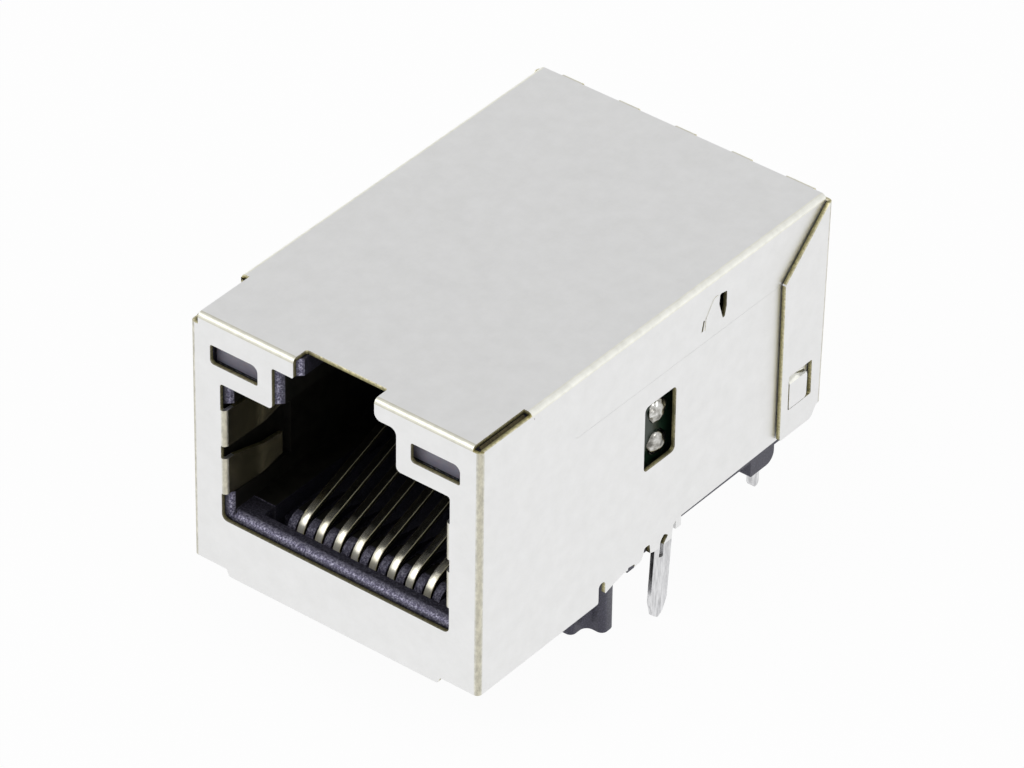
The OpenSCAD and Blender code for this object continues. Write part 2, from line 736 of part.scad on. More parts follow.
shield();
front_housing();
contact_carrier();
contact(0);  // contact_1
contact(1);  // contact_2
contact(2);  // contact_3
contact(3);  // contact_4
contact(4);  // contact_5
contact(5);  // contact_6
contact(6);  // contact_7
contact(7);  // contact_8
mirror([1, 0, 0]) light();  // left_light
light_lead(-lead_xs[0]);  // left_light_outer_lead
light_lead(-lead_xs[1]);  // left_light_inner_lead
light();  // right_light
light_lead(lead_xs[0]);  // right_light_outer_lead
light_lead(lead_xs[1]);  // right_light_inner_lead
rear_base();
mirror([1, 0, 0]) circuit_board();  // left_circuit_board
circuit_board();  // right_circuit_board
signal_pin(0);  // signal_pin_1
signal_pin(1);  // signal_pin_2
signal_pin(2);  // signal_pin_3
signal_pin(3);  // signal_pin_4
signal_pin(4);  // signal_pin_5
signal_pin(5);  // signal_pin_6
signal_pin(6);  // signal_pin_7
signal_pin(7);  // signal_pin_8
mirror([1, 0, 0]) solder_joints();  // left_solder_joints
solder_joints();  // right_solder_joints
mirror([1, 0, 0]) core(transformer_y);  // left_transformer_core
mirror([1, 0, 0]) winding(transformer_y, 12);  // left_transformer_winding
core(transformer_y);  // right_transformer_core
winding(transformer_y, 12);  // right_transformer_winding
mirror([1, 0, 0]) core(choke_y);  // left_choke_core
mirror([1, 0, 0]) winding(choke_y, 8);  // left_choke_winding
core(choke_y);  // right_choke_core
winding(choke_y, 8);  // right_choke_winding
mirror([1, 0, 0]) chip_resistor(15);  // left_front_resistor
mirror([1, 0, 0]) chip_resistor(17.6);  // left_rear_resistor
chip_resistor(15);  // right_front_resistor
chip_resistor(17.6);  // right_rear_resistor
mirror([1, 0, 0]) shield_capacitor();
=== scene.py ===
"""Shielded board jack with built-in magnetics: finishes, fine detail, light and camera."""
import math

import bmesh
import bpy
from mathutils import Matrix, Vector, noise


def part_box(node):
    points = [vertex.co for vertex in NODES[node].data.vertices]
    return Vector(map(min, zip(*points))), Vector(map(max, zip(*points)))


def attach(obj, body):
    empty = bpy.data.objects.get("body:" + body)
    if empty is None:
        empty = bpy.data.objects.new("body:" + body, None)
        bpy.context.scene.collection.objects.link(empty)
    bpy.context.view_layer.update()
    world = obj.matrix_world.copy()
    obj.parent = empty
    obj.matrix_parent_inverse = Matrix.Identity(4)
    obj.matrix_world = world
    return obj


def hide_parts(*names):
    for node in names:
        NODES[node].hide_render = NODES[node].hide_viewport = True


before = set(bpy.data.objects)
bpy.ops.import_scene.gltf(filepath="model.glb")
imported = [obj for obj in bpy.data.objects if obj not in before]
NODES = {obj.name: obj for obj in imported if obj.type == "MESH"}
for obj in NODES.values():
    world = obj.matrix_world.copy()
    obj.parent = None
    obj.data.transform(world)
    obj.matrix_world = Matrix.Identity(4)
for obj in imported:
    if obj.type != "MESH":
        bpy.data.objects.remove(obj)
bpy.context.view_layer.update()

MM = 0.001
SHEET = 0.2 * MM  # thickness of the shield
BEND_R = 0.25 * MM  # outside radius of its bends
LATCH_PROUD = 0.02 * MM  # how far the latch bumps stand out of the flaps
REAR_LEAN = math.tan(math.radians(1.5))  # the rear wall leans forward

shield_low, shield_high = (Vector(corner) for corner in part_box("shield"))
housing_high = Vector(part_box("front_housing")[1])
FRONT = shield_low.y  # outer faces of the shield's panels
REAR = shield_high.y
TOP = shield_high.z
SIDE = housing_high.x + SHEET
FLAP = shield_high.x - LATCH_PROUD


# ---- Material helpers --------------------------------------------------------

def new_material(name):
    """A new material, with its node tree and its Principled shader."""
    material = bpy.data.materials.new(name)
    material.use_nodes = True
    tree = material.node_tree
    return material, tree, tree.nodes["Principled BSDF"]


def object_noise(tree, size, detail=3.0, stretch=(1, 1, 1), rough=0.5):
    """Noise on Object coordinates with features of about the given size in metres."""
    place = tree.nodes.new("ShaderNodeTexCoord")
    mapping = tree.nodes.new("ShaderNodeMapping")
    mapping.inputs["Scale"].default_value = [s / size for s in stretch]
    texture = tree.nodes.new("ShaderNodeTexNoise")
    texture.inputs["Scale"].default_value = 1.0
    texture.inputs["Detail"].default_value = detail
    texture.inputs["Roughness"].default_value = rough
    tree.links.new(place.outputs["Object"], mapping.inputs["Vector"])
    tree.links.new(mapping.outputs["Vector"], texture.inputs["Vector"])
    return texture.outputs["Fac"]


def along_axis(tree, axis, low, high):
    """A value that goes from 0 to 1 as a point of the object goes from low to high."""
    place = tree.nodes.new("ShaderNodeTexCoord")
    split = tree.nodes.new("ShaderNodeSeparateXYZ")
    share = tree.nodes.new("ShaderNodeMapRange")
    share.inputs["From Min"].default_value = low
    share.inputs["From Max"].default_value = high
    tree.links.new(place.outputs["Object"], split.inputs[0])
    tree.links.new(split.outputs[axis], share.inputs["Value"])
    return share.outputs["Result"]


def ramp(tree, value, stops):
    """A colour ramp over a value; stops are (position, grey or colour)."""
    node = tree.nodes.new("ShaderNodeValToRGB")
    band = node.color_ramp
    for i, (position, colour) in enumerate(stops):
        if not isinstance(colour, tuple):
            colour = (colour, colour, colour)
        element = band.elements[i] if i < 2 else band.elements.new(position)
        element.position = position
        element.color = (*colour, 1)
    tree.links.new(value, node.inputs["Fac"])
    return node.outputs["Color"]


def bump(tree, shader, height, distance):
    """Fine relief on a shader: a height from 0 to 1 over a distance in metres."""
    node = tree.nodes.new("ShaderNodeBump")
    node.inputs["Distance"].default_value = distance
    node.inputs["Strength"].default_value = 1.0
    tree.links.new(height, node.inputs["Height"])
    tree.links.new(node.outputs["Normal"], shader.inputs["Normal"])


def mix_colour(tree, factor, first, second, blend="MIX"):
    """Blends two colours; the factor and each colour are a plain value or a node's output."""
    node = tree.nodes.new("ShaderNodeMix")
    node.data_type = "RGBA"
    node.blend_type = blend
    for socket, value in (("A", first), ("B", second)):
        target = [s for s in node.inputs if s.name == socket and s.type == "RGBA"][0]
        if isinstance(value, tuple):
            target.default_value = (*value, 1)
        else:
            tree.links.new(value, target)
    if isinstance(factor, float):
        node.inputs["Factor"].default_value = factor
    else:
        tree.links.new(factor, node.inputs["Factor"])
    return [s for s in node.outputs if s.type == "RGBA"][0]


def multiply_colour(tree, first, second):
    """The product of two colours."""
    return mix_colour(tree, 1.0, first, second, blend="MULTIPLY")


# ---- Finishes ----------------------------------------------------------------

# Where a finish changes along Y or Z
MOUTH = (FRONT, FRONT + 4 * MM)
SPRING_ARM = (FRONT + 2 * MM, FRONT + 8 * MM)
SPRING_TURN = (1.4 * MM, 3.4 * MM)
LIGHT_FOOT = (10.6 * MM, 10.8 * MM)


def edge_value(tree):
    """The shield's own 'edge' attribute, which runs across its cut edges and bends."""
    node = tree.nodes.new("ShaderNodeAttribute")
    node.attribute_type = "GEOMETRY"
    node.attribute_name = "edge"
    return node.outputs["Fac"]


def nickel_plate():
    """Matt nickel plating with a faint mottle and a fine rolled grain along the sheet."""
    material, tree, shader = new_material("nickel_plate")
    shader.inputs["Metallic"].default_value = 1.0
    mottle = object_noise(tree, 0.9 * MM, 6, rough=0.65)
    colour = ramp(tree, mottle, [(0.3, (0.805, 0.805, 0.800)), (0.7, (0.850, 0.850, 0.848))])
    tree.links.new(colour, shader.inputs["Base Color"])
    grain = object_noise(tree, 0.07 * MM, 3, stretch=(1, 0.3, 1))
    roughness = ramp(tree, grain, [(0.25, 0.36), (0.75, 0.47)])
    tree.links.new(roughness, shader.inputs["Roughness"])
    bump(tree, shader, grain, 0.0016 * MM)
    return material


def cut_edge():
    """Sheared edge of the sheet: pale and smooth where the punch went in, then torn brass,
    darkened towards the inside of the sheet by painted shade.
    """
    material, tree, shader = new_material("cut_brass_edge")
    shader.inputs["Metallic"].default_value = 0.75
    streaks = object_noise(tree, 0.12 * MM, 4)
    # the pale outside is the burnished zone; further in is torn brass, darkened towards the
    # inside by painted shade
    depth = ramp(tree, edge_value(tree), [
        (0.0, (0.90, 0.86, 0.66)), (0.30, (0.74, 0.68, 0.42)), (0.55, (0.44, 0.40, 0.20)),
        (1.0, (0.22, 0.20, 0.10))])
    worn = ramp(tree, streaks, [(0.3, 0.55), (0.7, 1.15)])
    colour = multiply_colour(tree, depth, worn)
    tree.links.new(colour, shader.inputs["Base Color"])
    shader.inputs["Roughness"].default_value = 0.42
    bump(tree, shader, streaks, 0.006 * MM)
    return material


def bend_plate():
    """Plating stretched over a bend: creamy along its crest, which is a painted highlight, and
    crazed where it starts and ends.
    """
    material, tree, shader = new_material("bend_plate")
    shader.inputs["Metallic"].default_value = 1.0
    mottle = object_noise(tree, 0.35 * MM, 4)
    # a painted highlight along the crest, and darker crazed plating towards the ends
    across = ramp(tree, edge_value(tree), [
        (0.14, (1.0, 1.0, 0.93)), (0.26, (0.88, 0.87, 0.78)), (0.40, (0.80, 0.79, 0.69)),
        (0.70, (0.78, 0.77, 0.67)), (0.95, (0.68, 0.66, 0.57))])
    worn = ramp(tree, mottle, [(0.3, 0.90), (0.7, 1.03)])
    colour = multiply_colour(tree, across, worn)
    tree.links.new(colour, shader.inputs["Base Color"])
    shader.inputs["Roughness"].default_value = 0.42
    bump(tree, shader, mottle, 0.004 * MM)
    return material


def shaded_blotchy_bend():
    """The upright bends: dull and olive-grey as painted shade, since they catch less light than
    the other bends, and blotchy.
    """
    material, tree, shader = new_material("shaded_blotchy_bend_plate")
    shader.inputs["Metallic"].default_value = 1.0
    mottle = object_noise(tree, 0.16 * MM, 5, stretch=(1, 1, 0.5), rough=0.65)
    # dark olive-grey over the bend as painted shade, lighter near where it meets the flat faces
    across = ramp(tree, edge_value(tree), [
        (0.10, (0.62, 0.59, 0.48)), (0.66, (0.64, 0.62, 0.52)), (0.95, (0.80, 0.79, 0.74))])
    worn = ramp(tree, mottle, [(0.32, 0.72), (0.68, 1.12)])
    colour = multiply_colour(tree, across, worn)
    tree.links.new(colour, shader.inputs["Base Color"])
    shader.inputs["Roughness"].default_value = 0.45
    bump(tree, shader, mottle, 0.006 * MM)
    return material


def black_plastic():
    """Glass-filled black plastic: dark body, violet-grey sheen and a sparkling fine tooth."""
    material, tree, shader = new_material("black_plastic")
    flecks = object_noise(tree, 0.055 * MM, 2)
    colour = ramp(tree, flecks, [(0.48, (0.008, 0.008, 0.010)), (0.78, (0.080, 0.078, 0.120))])
    tree.links.new(colour, shader.inputs["Base Color"])
    shader.inputs["Specular Tint"].default_value = (0.82, 0.80, 1.0, 1)
    shader.inputs["Specular IOR Level"].default_value = 0.85
    tooth = object_noise(tree, 0.075 * MM, 3)
    roughness = ramp(tree, tooth, [(0.3, 0.30), (0.7, 0.52)])
    tree.links.new(roughness, shader.inputs["Roughness"])
    bump(tree, shader, tooth, 0.016 * MM)
    return material


def flare_plastic():
    """The same plastic off a coarsely eroded mould, with painted light: violet flecks that are
    painted glints, a painted highlight on the lip's slope and on the rib fronts, and painted
    shade that darkens them into the port."""
    material, tree, shader = new_material("eroded_plastic_painted_light")
    depth = along_axis(tree, "Y", *MOUTH)
    # a painted highlight on the lip's slope and the rib fronts, and painted shade deeper into
    # the port
    fade = ramp(tree, depth, [
        (0.082, 0.03), (0.102, 0.34), (0.122, 1.0), (0.140, 0.45), (0.170, 0.13), (0.45, 0.05),
        (0.48, 0.50), (0.56, 0.25), (0.80, 0.01)])
    facets = object_noise(tree, 0.09 * MM, 3, rough=0.7)
    # the brightest flecks are painted glints
    flecks = ramp(tree, facets, [(0.36, (0.06, 0.055, 0.09)), (0.50, (0.22, 0.205, 0.32)),
                                 (0.64, (0.84, 0.82, 1.0))])
    colour = multiply_colour(tree, flecks, fade)
    tree.links.new(colour, shader.inputs["Base Color"])
    shader.inputs["IOR"].default_value = 1.6
    shader.inputs["Specular IOR Level"].default_value = 0.6
    shader.inputs["Specular Tint"].default_value = (0.80, 0.78, 1.0, 1)
    roughness = ramp(tree, facets, [(0.3, 0.55), (0.7, 0.25)])
    tree.links.new(roughness, shader.inputs["Roughness"])
    bump(tree, shader, facets, 0.045 * MM)
    return material


def port_shade_plastic():
    """The port's deep walls: the same plastic, painted near black as painted shade, almost
    without a sheen.
    """
    material, tree, shader = new_material("port_painted_shade_plastic")
    shade_tone = object_noise(tree, 0.6 * MM, 4)
    # near black as painted shade, with a faint random tone
    colour = ramp(tree, shade_tone, [(0.35, (0.004, 0.004, 0.003)), (0.75, (0.014, 0.013, 0.010))])
    tree.links.new(colour, shader.inputs["Base Color"])
    shader.inputs["Specular IOR Level"].default_value = 0.35
    shader.inputs["Roughness"].default_value = 0.45
    bump(tree, shader, shade_tone, 0.01 * MM)
    return material


def tongue_plate():
    """Plating on the tongues with painted reflection: dark near the mouth, and bright brass
    towards their free ends.
    """
    material, tree, shader = new_material("tongue_plate_painted_reflection")
    shader.inputs["Metallic"].default_value = 0.85
    tone = object_noise(tree, 0.5 * MM, 3)
    mottle = ramp(tree, tone, [(0.3, 0.70), (0.7, 1.0)])
    # painted reflection: dark where the tongue mirrors the port, brass-bright where its end
    # catches light
    painted_reflection = ramp(tree, along_axis(tree, "Y", *MOUTH), [
        (0.05, (0.18, 0.16, 0.11)), (0.48, (0.28, 0.25, 0.15)), (0.60, (0.80, 0.71, 0.44))])
    colour = multiply_colour(tree, painted_reflection, mottle)
    tree.links.new(colour, shader.inputs["Base Color"])
    shader.inputs["Roughness"].default_value = 0.24
    bump(tree, shader, tone, 0.004 * MM)
    return material


def gold_plate():
    """Thin bright gold on the springs: pale and scuffed where the arm turns down, and smooth
    enough further in to mirror the dark port."""
    material, tree, shader = new_material("gold_plate")
    tone = object_noise(tree, 0.3 * MM, 4, stretch=(1, 0.35, 0.35))
    colour = ramp(tree, tone, [(0.3, (0.76, 0.72, 0.57)), (0.7, (0.92, 0.90, 0.80))])
    tree.links.new(colour, shader.inputs["Base Color"])
    height = along_axis(tree, "Z", *SPRING_TURN)
    brushed = ramp(tree, height, [(0.1, 0.50), (0.5, 0.36), (0.9, 0.16)])
    tree.links.new(brushed, shader.inputs["Roughness"])
    metal = ramp(tree, height, [(0.1, 0.0), (0.55, 0.60), (0.9, 1.0)])
    tree.links.new(metal, shader.inputs["Metallic"])
    bump(tree, shader, tone, 0.004 * MM)
    return material


def shaded_gold_edge():
    """Sheared sides of the springs: torn, and painted dark as painted shade."""
    material, tree, shader = new_material("gold_sheared_edge_painted_shade")
    shader.inputs["Metallic"].default_value = 0.8
    tear = object_noise(tree, 0.08 * MM, 3)
    # dark as painted shade
    colour = ramp(tree, tear, [(0.3, (0.035, 0.029, 0.016)), (0.7, (0.11, 0.09, 0.045))])
    tree.links.new(colour, shader.inputs["Base Color"])
    shader.inputs["Roughness"].default_value = 0.5
    bump(tree, shader, tear, 0.01 * MM)
    return material


def gold_arris():
    """Rounded corners of the springs: a thin line of light that dims into the port."""
    material, tree, shader = new_material("gold_arris")
    shader.inputs["Metallic"].default_value = 0.45
    nicks = object_noise(tree, 0.2 * MM, 3)
    bright = ramp(tree, nicks, [(0.3, (0.86, 0.78, 0.46)), (0.7, (1.0, 0.95, 0.70))])
    fade = ramp(tree, along_axis(tree, "Y", *SPRING_ARM), [
        (0.05, 1.0), (0.8, 0.30)])
    colour = multiply_colour(tree, bright, fade)
    tree.links.new(colour, shader.inputs["Base Color"])
    shader.inputs["Roughness"].default_value = 0.38
    return material


def tin_plate():
    """Dull tin with streaks that run down the pins."""
    material, tree, shader = new_material("tin_plate")
    shader.inputs["Metallic"].default_value = 1.0
    streaks = object_noise(tree, 0.13 * MM, 5, stretch=(1, 1, 0.16), rough=0.65)
    colour = ramp(tree, streaks, [(0.32, (0.52, 0.52, 0.53)), (0.62, (0.80, 0.80, 0.81))])
    tree.links.new(colour, shader.inputs["Base Color"])
    roughness = ramp(tree, streaks, [(0.3, 0.55), (0.7, 0.34)])
    tree.links.new(roughness, shader.inputs["Roughness"])
    bump(tree, shader, streaks, 0.010 * MM)
    return material


def milky_lens():
    """Unlit indicator light: milky, grey-violet and slightly translucent, with a groove darkened
    by painted shade and a flecked flange along its foot, whose bright flecks are painted glints."""
    material, tree, shader = new_material("milky_lens")
    cloud = object_noise(tree, 0.5 * MM, 3)
    body = ramp(tree, cloud, [(0.3, (0.225, 0.215, 0.27)), (0.7, (0.27, 0.26, 0.32))])
    flecks = object_noise(tree, 0.12 * MM, 2)
    # the flange's bright flecks are painted glints
    flange = ramp(tree, flecks, [(0.42, (0.03, 0.03, 0.035)), (0.60, (0.20, 0.20, 0.23)),
                                 (0.72, (0.60, 0.60, 0.64))])
    height = along_axis(tree, "Z", *LIGHT_FOOT)
    above = ramp(tree, height, [(0.50, 0.0), (0.56, 1.0)])
    # a band darkened by painted shade in the groove at the lens's foot
    groove = ramp(tree, height, [(0.22, 1.0), (0.30, 0.08), (0.50, 0.08), (0.58, 1.0)])
    colour = multiply_colour(tree, mix_colour(tree, above, flange, body), groove)
    tree.links.new(colour, shader.inputs["Base Color"])
    shader.inputs["Roughness"].default_value = 0.34
    shader.inputs["Subsurface Weight"].default_value = 0.25
    shader.inputs["Subsurface Scale"].default_value = 0.4 * MM
    bump(tree, shader, cloud, 0.01 * MM)
    return material


def solder_mask():
    """Dark green board lacquer over woven glass."""
    material, tree, shader = new_material("green_solder_mask")
    weave = object_noise(tree, 0.3 * MM, 3, stretch=(1, 1, 0.4))
    colour = ramp(tree, weave, [(0.3, (0.004, 0.012, 0.006)), (0.7, (0.010, 0.028, 0.015))])
    tree.links.new(colour, shader.inputs["Base Color"])
    shader.inputs["Roughness"].default_value = 0.30
    shader.inputs["Specular IOR Level"].default_value = 0.35
    shader.inputs["Coat Weight"].default_value = 0.1
    bump(tree, shader, weave, 0.006 * MM)
    return material


def bright_solder():
    """Solder that set with a wrinkled, half bright and half frosted skin."""
    material, tree, shader = new_material("bright_solder")
    shader.inputs["Metallic"].default_value = 1.0
    ripple = object_noise(tree, 0.36 * MM, 3)
    colour = ramp(tree, ripple, [(0.34, (0.16, 0.155, 0.14)), (0.50, (0.46, 0.45, 0.42)),
                                 (0.70, (0.84, 0.84, 0.82))])
    tree.links.new(colour, shader.inputs["Base Color"])
    shader.inputs["Roughness"].default_value = 0.24
    bump(tree, shader, ripple, 0.04 * MM)
    return material


def matt_ceramic(name, dark, light):
    """Matt, gritty ceramic between two colours."""
    material, tree, shader = new_material(name)
    grit = object_noise(tree, 0.12 * MM, 3)
    colour = ramp(tree, grit, [(0.3, dark), (0.7, light)])
    tree.links.new(colour, shader.inputs["Base Color"])
    shader.inputs["Roughness"].default_value = 0.7
    bump(tree, shader, grit, 0.006 * MM)
    return material


def enamelled_wire():
    """Copper wire under glossy enamel."""
    material, tree, shader = new_material("enamelled_wire")
    shader.inputs["Metallic"].default_value = 1.0
    tone = object_noise(tree, 0.25 * MM, 3)
    colour = ramp(tree, tone, [(0.3, (0.45, 0.17, 0.07)), (0.7, (0.66, 0.30, 0.14))])
    tree.links.new(colour, shader.inputs["Base Color"])
    shader.inputs["Roughness"].default_value = 0.3
    shader.inputs["Coat Weight"].default_value = 0.6
    return material


NICKEL = nickel_plate()
BRASS_EDGE = cut_edge()
BEND = bend_plate()
SHADED_BLOTCHY_BEND = shaded_blotchy_bend()
PLASTIC = black_plastic()
FLARE = flare_plastic()
PORT_SHADE = port_shade_plastic()
TONGUE = tongue_plate()
GOLD = gold_plate()
SHADED_GOLD_EDGE = shaded_gold_edge()
GOLD_ARRIS = gold_arris()
TIN = tin_plate()
LENS = milky_lens()
MASK = solder_mask()
SOLDER = bright_solder()
FERRITE = matt_ceramic("ferrite", (0.03, 0.03, 0.03), (0.07, 0.07, 0.07))
CHIP = matt_ceramic("chip_ceramic", (0.02, 0.02, 0.02), (0.05, 0.05, 0.05))
CAPACITOR = matt_ceramic("capacitor_ceramic", (0.30, 0.20, 0.12), (0.42, 0.30, 0.19))
WIRE = enamelled_wire()


# ---- Joining and finishing pieces --------------------------------------------

MERGE_REACH = 0.0005 * MM  # loose triangles share corners this near to each other
FLAT_TURN = math.radians(0.5)  # faces that turn less than this make one face
BEVEL_TURN = math.radians(40)  # edges that turn more than this are bevelled
SHARP_TURN = math.radians(32)  # edges that turn more than this aren't shaded smooth
ROUND_TURN = math.radians(60)  # the same on a round piece
LARGE_FACE_WEIGHT = 80  # broad faces keep their own shading beside a bevel


def merged_copy(node):
    """A bmesh of a CAD node with its loose triangles joined into whole faces."""
    form = bmesh.new()
    form.from_mesh(NODES[node].data)
    bmesh.ops.remove_doubles(form, verts=form.verts, dist=MERGE_REACH)
    bmesh.ops.dissolve_limit(form, angle_limit=FLAT_TURN, verts=form.verts, edges=form.edges)
    bmesh.ops.recalc_face_normals(form, faces=form.faces)
    return form


def cut_through(form, point, normal):
    """Cuts the faces along a plane, so that two finishes can meet there."""
    bmesh.ops.bisect_plane(form, geom=form.verts[:] + form.edges[:] + form.faces[:],
                           dist=0.001 * MM, plane_co=point, plane_no=normal)


def add_box(form, centre, size, turn):
    """Adds a turned box to a bmesh and returns its faces."""
    place = Matrix.Translation(centre) @ turn @ Matrix.Diagonal((*size, 1))
    corners = bmesh.ops.create_cube(form, size=1, matrix=place)["verts"]
    return {face for corner in corners for face in corner.link_faces}


def finished(form, name, node, materials, bevel=0.0, sharp=SHARP_TURN, even=False):
    """Puts a bmesh into the scene as the piece that stands for a CAD node."""
    mesh = bpy.data.meshes.new(name)
    form.to_mesh(mesh)
    form.free()
    piece = bpy.data.objects.new(name, mesh)
    bpy.context.scene.collection.objects.link(piece)
    for material in materials:
        mesh.materials.append(material)
    for polygon in mesh.polygons:
        polygon.use_smooth = True
    mesh.set_sharp_from_angle(angle=sharp)
    if bevel:
        rounding = piece.modifiers.new("edge", "BEVEL")
        rounding.width = bevel
        rounding.segments = 2
        rounding.limit_method = "ANGLE"
        rounding.angle_limit = BEVEL_TURN
    if bevel or even:
        shading = piece.modifiers.new("even", "WEIGHTED_NORMAL")
        shading.keep_sharp = True
        shading.weight = LARGE_FACE_WEIGHT
    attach(piece, "root")
    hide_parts(node)


# ---- Shield ------------------------------------------------------------------

SHIELD_FINISHES = (NICKEL, BRASS_EDGE, BEND, TIN, TONGUE, SHADED_BLOTCHY_BEND, SHADED_GOLD_EDGE)
SHIELD_BEVEL = 0.012 * MM

WIDEST_CUT = 1.3 * SHEET  # a broader face isn't a cut edge
DEPTH_LEAST, DEPTH_MOST = -0.1, 1.35  # in sheet thicknesses, with room for rounding
ALONG, ACROSS = 0.1, 0.3  # a normal's part along an axis, below which a face runs with it
FACING = 0.9  # a normal's part along an axis, above which a face looks that way
SQUARE_ON, OFF_PLANE = 0.995, 0.03  # the largest and smallest parts of a bend's normal
DEEP_CUT = 0.8  # a face that spans this share of the sheet is cut, even beside a bend

PIN_ROOT = 0.5 * MM  # the ground pins are tinned below this height
PIN_START = FRONT + 12 * MM
TONGUE_START = FRONT + 1.2 * SHEET
TONGUE_END = FRONT + 5 * MM
TONGUE_TOP = 9 * MM
TONGUE_EDGE_SHADE = 0.9  # the edge value of the tongues, which paints their cut edges dark as painted shade
SIDE_BEND_HIGHLIGHT_SHARE = 0.27  # the roof's side bends use only the palest part of the bend's finish, as a brighter painted highlight
FRONT_BEND_HIGHLIGHT_START = 0.35  # and its front and rear bends only the part from here on, as a dimmer painted highlight

# The pressed seam between the roof's strip and a side panel: Y from the front and Z, in mm
SEAM = [Vector(corner) for corner in ((3.64, 12.77), (6.565, 10.05), (21.2, 10.05))]
SEAM_RUNS = [(start, end - start) for start, end in zip(SEAM, SEAM[1:])]
SEAM_REACH = 0.08  # mm
SEAM_FLOOR = (0.1 * MM, 0.12 * MM)  # its depth into the sheet and its width
SEAM_INSET = 0.057 * MM  # from the panel's outer face to the middle of the floor

# A dark strip down a roof slot, which stands for the shade and brownish reflection inside it:
# its size, and its middle from the shield's outer faces
LIP_SIZE = (0.36 * MM, 2.95 * MM, 0.06 * MM)
LIP_INSET = 0.27 * MM
LIP_MIDDLE = 1.83 * MM
LIP_DROP = 0.31 * MM


def sheet_depths(face):
    """How deep each corner of a sheared face lies in its sheet, from 0 outside to 1 inside."""
    if face.calc_area() > WIDEST_CUT / 2 * face.calc_perimeter():
        return None
    normal = face.normal
    depths = []
    for loop in face.loops:
        p = loop.vert.co
        rear = REAR - REAR_LEAN * max(0, TOP - BEND_R - p.z)
        panels = ((normal.y, p.y - FRONT), (normal.y, rear - p.y), (normal.z, TOP - p.z),
                  (normal.x, FLAP - abs(p.x)), (normal.x, SIDE - abs(p.x)))
        near = [deep / SHEET for facing, deep in panels
                if abs(facing) < ACROSS and DEPTH_LEAST * SHEET < deep < DEPTH_MOST * SHEET]
        if not near:
            return None
        depths.append(min(near))
    return depths


def bend_turn(face):
    """How far a bend's facet is from the bend's crest, or None for a face that isn't one."""
    smallest, middle, largest = sorted(abs(part) for part in face.normal)
    if largest > SQUARE_ON or smallest > OFF_PLANE:
        return None
    return 1 - math.degrees(math.atan2(middle, largest)) / 45


def on_seam(point):
    """Whether a point lies on the tight seam between a side panel and the roof's strip."""
    spot = Vector(((point.y - FRONT) / MM, point.z / MM))
    for start, along in SEAM_RUNS:
        share = max(0, min(1, (spot - start).dot(along) / along.length_squared))
        if (start + share * along - spot).length < SEAM_REACH:
            return abs(point.x) > SIDE - SHEET
    return False


def shield_finish(face):
    """The finish of one face of the shield, and the edge value of each of its corners."""
    centre = face.calc_center_median()
    normal = face.normal
    corners = len(face.loops)
    turn = bend_turn(face)
    depths = sheet_depths(face)
    if centre.z < PIN_ROOT and abs(centre.x) > SIDE - 2 * SHEET and centre.y > PIN_START:
        return TIN, [0] * corners
    if on_seam(centre) and abs(normal.x) < ACROSS:
        return NICKEL, [0] * corners
    if (abs(centre.x) < SIDE - 3 * SHEET and TONGUE_START < centre.y < TONGUE_END
            and centre.z < TONGUE_TOP):
        return BRASS_EDGE if abs(normal.z) > FACING else TONGUE, [TONGUE_EDGE_SHADE] * corners
    if depths is not None and (turn is None or max(depths) - min(depths) > DEEP_CUT):
        return BRASS_EDGE, depths
    if turn is None:
        return NICKEL, [0] * corners
    # upright bends get the finish that is painted darker as painted shade
    if abs(normal.z) < ALONG:
        return SHADED_BLOTCHY_BEND, [turn] * corners
    if abs(normal.x) > ALONG:
        return BEND, [SIDE_BEND_HIGHLIGHT_SHARE * turn] * corners
    return BEND, [FRONT_BEND_HIGHLIGHT_START + (1 - FRONT_BEND_HIGHLIGHT_START) * turn] * corners


def add_seam_floors(form):
    """Thin strips just under the surface, so that the pressed seams read as faint lines."""
    depth, width = SEAM_FLOOR
    for start, along in SEAM_RUNS:
        turn = Matrix.Rotation(math.atan2(along.y, along.x), 4, "X")
        middle = start + along / 2
        for side in (-1, 1):
            centre = (side * (SIDE - SEAM_INSET), FRONT + middle.x * MM, middle.y * MM)
            add_box(form, centre, (depth, along.length * MM, width), turn)


def add_slot_shade_strips(form):
    """A dark brown strip down each slot between the roof and a side panel: painted shade and
    painted reflection.
    """
    for side in (-1, 1):
        centre = (side * (SIDE - LIP_INSET), FRONT + LIP_MIDDLE, TOP - LIP_DROP)
        turn = Matrix.Rotation(side * math.radians(45), 4, "Y")
        for face in add_box(form, centre, LIP_SIZE, turn):
            face.material_index = SHIELD_FINISHES.index(SHADED_GOLD_EDGE)


def make_shield():
    """The folded sheet, with its cut edges, bends, tongues and tinned ground pins."""
    form = merged_copy("shield")
    cut_through(form, (0, 0, PIN_ROOT), (0, 0, 1))
    edge = form.loops.layers.float.new("edge")
    for face in form.faces:
        finish, values = shield_finish(face)
        face.material_index = SHIELD_FINISHES.index(finish)
        for loop, value in zip(face.loops, values):
            loop[edge] = value
    add_seam_floors(form)
    add_slot_shade_strips(form)
    finished(form, "folded_shield", "shield", SHIELD_FINISHES, bevel=SHIELD_BEVEL)


# ---- Mouldings, lights and boards --------------------------------------------

MOULDED_FINISHES = (PLASTIC, FLARE, PORT_SHADE)

MOULDED = {  # node: piece, slot, finishes and bevel in mm
    "front_housing": ("moulded_housing", "black_plastic", MOULDED_FINISHES, 0.04),
    "contact_carrier": ("contact_comb", "black_plastic", MOULDED_FINISHES, 0.03),
    "rear_base": ("pin_base", "black_plastic", MOULDED_FINISHES, 0.04),
    "left_light": ("left_indicator", "light", (LENS,), 0.05),
    "right_light": ("right_indicator", "light", (LENS,), 0.05),
    "left_circuit_board": ("left_board", "board", (MASK,), 0.02),
    "right_circuit_board": ("right_board", "board", (MASK,), 0.02),
}
AROUND_THE_PORT = ("front_housing", "contact_carrier")

